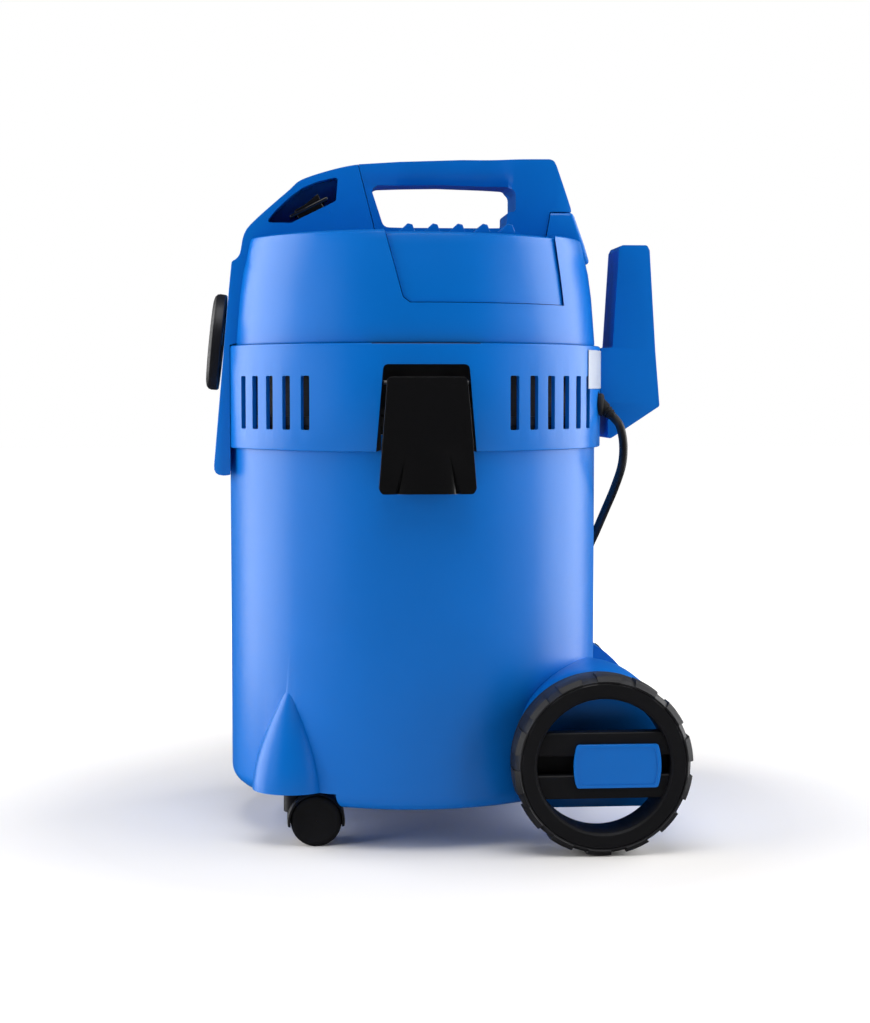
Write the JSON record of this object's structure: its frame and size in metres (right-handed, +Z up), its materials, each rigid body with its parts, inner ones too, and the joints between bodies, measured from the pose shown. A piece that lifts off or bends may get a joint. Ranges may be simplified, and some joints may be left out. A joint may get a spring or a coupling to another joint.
{
  "type": "shop vacuum",
  "caption": "Upright wet and dry shop vacuum with a round tank, two large rear wheels, front casters and a lift-off motor head with a carry handle.",
  "frame": {"origin": "on the floor, under the middle of the machine without its cord", "axes": "+Z up, -Y towards the hose inlet at the front, +X towards the machine's left side"},
  "size_m": [0.504, 0.3748, 0.5073],
  "materials": {
    "body_blue": "satin moulded plastic, fine grain",
    "wheel_black": "matt moulded plastic",
    "tyre_black": "matt hard rubber tread",
    "latch_black": "high gloss",
    "inlet_black": "satin",
    "inner_black": "matt",
    "switch_black": "gloss",
    "rubber_black": "soft seal",
    "cord_black": "satin flexible sheath",
    "label_white": "printed film, left blank",
    "steel": "bright drawn",
    "aluminium": "pressed sheet",
    "copper": "enamelled winding",
    "foam_grey": "open-cell foam",
    "filter_paper": "pleated filter medium",
    "float_white": "light moulding"
  },
  "bodies": {
    "tank": {"tank": "body_blue", "stub_axle_left": "steel", "stub_axle_right": "steel", "caster_socket_left": "wheel_black", "caster_socket_right": "wheel_black", "cord_tube": "cord_black", "cord_coil": "cord_black", "mains_plug": "cord_black"},
    "head": {"head_skirt": "body_blue", "head_cover": "body_blue", "handle_cover": "body_blue", "deck_louvre_left": "body_blue", "deck_louvre_right": "body_blue", "accessory_post": "body_blue", "rating_plate": "label_white", "cord_gland": "cord_black", "inlet_collar": "inlet_black", "inlet_elbow": "inlet_black", "switch_bezel": "switch_black", "motor_plate": "inner_black", "tank_seal": "rubber_black", "motor_gasket": "rubber_black", "motor_housing": "inner_black", "fan_cover": "steel", "motor_stator": "steel", "lower_bearing": "steel", "upper_bearing": "steel", "exhaust_foam": "foam_grey", "float_cage": "inner_black", "filter_cartridge": "filter_paper", "latch_pin_left": "steel", "latch_pin_right": "steel"},
    "rotor": {"rotor_shaft": "steel", "armature": "copper", "impeller": "aluminium"},
    "float": {"float_ball": "float_white"},
    "filter_lock": {"filter_knob": "inner_black"},
    "rocker": {"switch_rocker": "switch_black"},
    "wheel_left": {"wheel_rim_left": "wheel_black", "tyre_left": "tyre_black", "wheel_badge_left": "body_blue"},
    "caster_left": {"caster_hood_left": "wheel_black", "caster_stem_left": "steel", "caster_axle_left": "steel"},
    "caster_wheels_left": {"caster_wheel_inner_left": "wheel_black", "caster_wheel_outer_left": "wheel_black"},
    "latch_left": {"latch_left": "latch_black"},
    "wheel_right": {"wheel_rim_right": "wheel_black", "tyre_right": "tyre_black", "wheel_badge_right": "body_blue"},
    "caster_right": {"caster_hood_right": "wheel_black", "caster_stem_right": "steel", "caster_axle_right": "steel"},
    "caster_wheels_right": {"caster_wheel_inner_right": "wheel_black", "caster_wheel_outer_right": "wheel_black"},
    "latch_right": {"latch_right": "latch_black"}
  },
  "joints": [
    {"name": "head_lift", "type": "slide", "parent": "tank", "child": "head", "axis": [0, 0, 1], "range_m": [0, 0.18]},
    {"name": "motor_spin", "type": "hinge", "parent": "head", "child": "rotor", "pos_m": [0, -0.01545, 0.33], "axis": [0, 0, 1], "continuous": true},
    {"name": "float_rise", "type": "slide", "parent": "head", "child": "float", "axis": [0, 0, 1], "range_m": [0, 0.025]},
    {"name": "filter_knob_turn", "type": "hinge", "parent": "head", "child": "filter_lock", "pos_m": [0, -0.01545, 0.166], "axis": [0, 0, 1], "range_deg": [0, 90]},
    {"name": "switch_rock", "type": "hinge", "parent": "head", "child": "rocker", "pos_m": [0.0245, -0.09545, 0.4675], "axis": [1, 0, 0], "range_deg": [-14, 0]},
    {"name": "wheel_left_roll", "type": "hinge", "parent": "tank", "child": "wheel_left", "pos_m": [0.146, 0.10955, 0.065], "axis": [1, 0, 0], "continuous": true},
    {"name": "caster_left_swivel", "type": "hinge", "parent": "tank", "child": "caster_left", "pos_m": [0.1, -0.10895, 0.04], "axis": [0, 0, 1], "continuous": true},
    {"name": "caster_left_roll", "type": "hinge", "parent": "caster_left", "child": "caster_wheels_left", "pos_m": [0.1, -0.09395, 0.0186], "axis": [1, 0, 0], "continuous": true},
    {"name": "latch_left_open", "type": "hinge", "parent": "head", "child": "latch_left", "pos_m": [0.1395, -0.01545, 0.337], "axis": [0, -1, 0], "range_deg": [0, 50]},
    {"name": "wheel_right_roll", "type": "hinge", "parent": "tank", "child": "wheel_right", "pos_m": [-0.146, 0.10955, 0.065], "axis": [1, 0, 0], "continuous": true},
    {"name": "caster_right_swivel", "type": "hinge", "parent": "tank", "child": "caster_right", "pos_m": [-0.1, -0.10895, 0.04], "axis": [0, 0, 1], "continuous": true},
    {"name": "caster_right_roll", "type": "hinge", "parent": "caster_right", "child": "caster_wheels_right", "pos_m": [-0.1, -0.09395, 0.0186], "axis": [1, 0, 0], "continuous": true},
    {"name": "latch_right_open", "type": "hinge", "parent": "head", "child": "latch_right", "pos_m": [-0.1395, -0.01545, 0.337], "axis": [0, 1, 0], "range_deg": [0, 50]}
  ]
}
